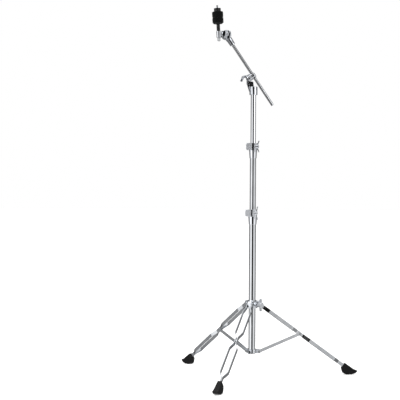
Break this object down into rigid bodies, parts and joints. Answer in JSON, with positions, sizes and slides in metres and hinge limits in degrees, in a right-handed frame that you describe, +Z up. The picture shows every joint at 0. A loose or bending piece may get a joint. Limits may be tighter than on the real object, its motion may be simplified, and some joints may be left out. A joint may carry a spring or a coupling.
{
  "type": "cymbal boom stand",
  "caption": "Chromed cymbal boom stand: a folding strap-leg tripod, telescoping tubes with wing nut clamps, and a leaning boom rod that ends in a tilter with black felts.",
  "frame": {"origin": "on the floor, under the middle of the stand's bounding box; the column stands 94.0 mm from it towards -X", "axes": "+Z up the column; leg 1 points along +X and the boom leans towards -X in the XZ plane"},
  "size_m": [0.6008, 0.6934, 1.3309],
  "materials": {
    "chromed_tube": "polished",
    "chromed_strap": "polished",
    "chromed_casting": "polished",
    "chromed_wing": "polished",
    "bright_steel": "zinc plated",
    "black_steel": "black oxide",
    "black_nylon": "moulded",
    "black_rubber": "moulded",
    "black_felt": "pressed felt"
  },
  "bodies": {
    "base": {"base_tube": "chromed_tube", "base_end_plug": "black_nylon", "bottom_hub": "chromed_casting", "hub_hinge_pins": "bright_steel", "hub_rivets": "bright_steel", "lower_clamp": "chromed_casting", "lower_clamp_bushing": "black_nylon", "lower_clamp_bolt": "bright_steel", "lower_clamp_washer": "bright_steel"},
    "lower_wing_nut": {"lower_clamp_wing_nut": "chromed_wing"},
    "leg_collar": {"leg_collar": "chromed_casting", "collar_hinge_pins": "bright_steel"},
    "collar_wing_bolt": {"collar_wing_bolt": "chromed_wing"},
    "leg_1": {"leg_1_strap_left": "chromed_strap", "leg_1_strap_right": "chromed_strap", "leg_1_pinch_rivets": "bright_steel", "leg_1_foot": "black_rubber"},
    "brace_1": {"brace_1": "chromed_strap"},
    "leg_2": {"leg_2_strap_left": "chromed_strap", "leg_2_strap_right": "chromed_strap", "leg_2_pinch_rivets": "bright_steel", "leg_2_foot": "black_rubber"},
    "brace_2": {"brace_2": "chromed_strap"},
    "leg_3": {"leg_3_strap_left": "chromed_strap", "leg_3_strap_right": "chromed_strap", "leg_3_pinch_rivets": "bright_steel", "leg_3_foot": "black_rubber"},
    "brace_3": {"brace_3": "chromed_strap"},
    "middle_guide": {"middle_tube_guide_ring": "black_nylon"},
    "middle_tube": {"middle_tube": "chromed_tube", "middle_tube_end_plug": "black_nylon", "upper_clamp": "chromed_casting", "upper_clamp_bushing": "black_nylon", "upper_clamp_bolt": "bright_steel", "upper_clamp_washer": "bright_steel"},
    "upper_wing_nut": {"upper_clamp_wing_nut": "chromed_wing"},
    "upper_guide": {"upper_tube_guide_ring": "black_nylon"},
    "upper_tube": {"upper_tube": "chromed_tube", "upper_tube_end_plug": "black_nylon", "boom_holder_base": "chromed_casting", "holder_cushion": "black_nylon"},
    "holder_wing_bolt": {"holder_wing_bolt": "chromed_wing"},
    "boom_head": {"boom_holder_head": "chromed_casting"},
    "rod_guide": {"rod_bushing": "black_nylon"},
    "boom": {"boom_rod": "chromed_tube", "tilter_socket": "chromed_casting"},
    "tilter": {"tilter_neck": "chromed_casting", "cymbal_stem": "bright_steel", "stem_lock_nut": "bright_steel", "stem_sleeve": "black_nylon", "cup_washer": "black_steel", "lower_felt": "black_felt"},
    "tilter_wing_bolt": {"tilter_wing_bolt": "chromed_wing"},
    "upper_felt": {"upper_felt": "black_felt"},
    "top_washer": {"top_washer": "black_steel"},
    "top_nut": {"top_nut": "black_nylon"}
  },
  "joints": [
    {"name": "leg_fold", "type": "slide", "parent": "base", "child": "leg_collar", "axis": [0, 0, 1], "range_m": [0, 0.1745]},
    {"name": "leg_1_swing", "type": "hinge", "parent": "leg_collar", "child": "leg_1", "pos_m": [-0.06798, 0, 0.26169], "axis": [0, 1, 0], "range_deg": [0, 44.3]},
    {"name": "leg_2_swing", "type": "hinge", "parent": "leg_collar", "child": "leg_2", "pos_m": [-0.10698, 0.02252, 0.26169], "axis": [-0.866, -0.5, 0], "range_deg": [0, 44.3]},
    {"name": "leg_3_swing", "type": "hinge", "parent": "leg_collar", "child": "leg_3", "pos_m": [-0.10698, -0.02252, 0.26169], "axis": [0.866, -0.5, 0], "range_deg": [0, 44.3]},
    {"name": "brace_1_swing", "type": "hinge", "parent": "base", "child": "brace_1", "pos_m": [-0.06798, 0, 0.0898], "axis": [0, -1, 0], "range_deg": [0, 56.75]},
    {"name": "brace_2_swing", "type": "hinge", "parent": "base", "child": "brace_2", "pos_m": [-0.10698, 0.02252, 0.0898], "axis": [0.866, 0.5, 0], "range_deg": [0, 56.75]},
    {"name": "brace_3_swing", "type": "hinge", "parent": "base", "child": "brace_3", "pos_m": [-0.10698, -0.02252, 0.0898], "axis": [-0.866, 0.5, 0], "range_deg": [0, 56.75]},
    {"name": "collar_bolt_turn", "type": "hinge", "parent": "leg_collar", "child": "collar_wing_bolt", "pos_m": [-0.07148, -0.03897, 0.26169], "axis": [0.5, -0.866, 0], "continuous": true},
    {"name": "middle_tube_height", "type": "slide", "parent": "base", "child": "middle_guide", "axis": [0, 0, 1], "range_m": [-0.175, 0.155]},
    {"name": "middle_tube_turn", "type": "hinge", "parent": "middle_guide", "child": "middle_tube", "pos_m": [-0.09398, 0, 0.3693], "axis": [0, 0, 1], "continuous": true},
    {"name": "lower_wing_nut_turn", "type": "hinge", "parent": "base", "child": "lower_wing_nut", "pos_m": [-0.08713, -0.02616, 0.5903], "axis": [0.9455, -0.3256, 0], "continuous": true},
    {"name": "upper_tube_height", "type": "slide", "parent": "middle_tube", "child": "upper_guide", "axis": [0, 0, 1], "range_m": [-0.163, 0.155]},
    {"name": "upper_tube_turn", "type": "hinge", "parent": "upper_guide", "child": "upper_tube", "pos_m": [-0.09398, 0, 0.6048], "axis": [0, 0, 1], "continuous": true},
    {"name": "upper_wing_nut_turn", "type": "hinge", "parent": "middle_tube", "child": "upper_wing_nut", "pos_m": [-0.08443, -0.0253, 0.8293], "axis": [0.9744, -0.225, 0], "continuous": true},
    {"name": "boom_tilt", "type": "hinge", "parent": "upper_tube", "child": "boom_head", "pos_m": [-0.10978, -0.009, 1.0768], "axis": [0, 1, 0], "range_deg": [-70, 34]},
    {"name": "holder_bolt_turn", "type": "hinge", "parent": "upper_tube", "child": "holder_wing_bolt", "pos_m": [-0.10978, 0.005, 1.0768], "axis": [0, 1, 0], "continuous": true},
    {"name": "rod_roll", "type": "hinge", "parent": "boom_head", "child": "rod_guide", "pos_m": [-0.10033, -0.0205, 1.08335], "axis": [-0.57, 0, 0.8216], "continuous": true},
    {"name": "boom_reach", "type": "slide", "parent": "rod_guide", "child": "boom", "axis": [-0.57, 0, 0.8216], "range_m": [-0.11, 0.105]},
    {"name": "cymbal_tilt", "type": "hinge", "parent": "boom", "child": "tilter", "pos_m": [-0.19911, -0.0205, 1.22574], "axis": [0, 1, 0], "range_deg": [-45, 60]},
    {"name": "tilter_bolt_turn", "type": "hinge", "parent": "tilter", "child": "tilter_wing_bolt", "pos_m": [-0.19911, -0.0355, 1.22574], "axis": [0, -1, 0], "continuous": true},
    {"name": "top_nut_lift", "type": "slide", "parent": "tilter", "child": "top_washer", "axis": [-0.061, 0, 0.9981], "range_m": [0, 0.06]},
    {"name": "upper_felt_lift", "type": "slide", "parent": "tilter", "child": "upper_felt", "axis": [-0.061, 0, 0.9981], "range_m": [0, 0.05]},
    {"name": "top_nut_turn", "type": "hinge", "parent": "top_washer", "child": "top_nut", "pos_m": [-0.23201, -0.0205, 1.3147], "axis": [-0.061, 0, 0.9981], "continuous": true}
  ],
  "couplings": [
    {"joint": "leg_1_swing", "follows": "leg_fold", "rad_per_m": 4.409},
    {"joint": "brace_1_swing", "follows": "leg_fold", "rad_per_m": 5.6541},
    {"joint": "leg_2_swing", "follows": "leg_fold", "rad_per_m": 4.409},
    {"joint": "brace_2_swing", "follows": "leg_fold", "rad_per_m": 5.6541},
    {"joint": "leg_3_swing", "follows": "leg_fold", "rad_per_m": 4.409},
    {"joint": "brace_3_swing", "follows": "leg_fold", "rad_per_m": 5.6541},
    {"joint": "upper_felt_lift", "follows": "top_nut_lift", "ratio": 0.8}
  ]
}
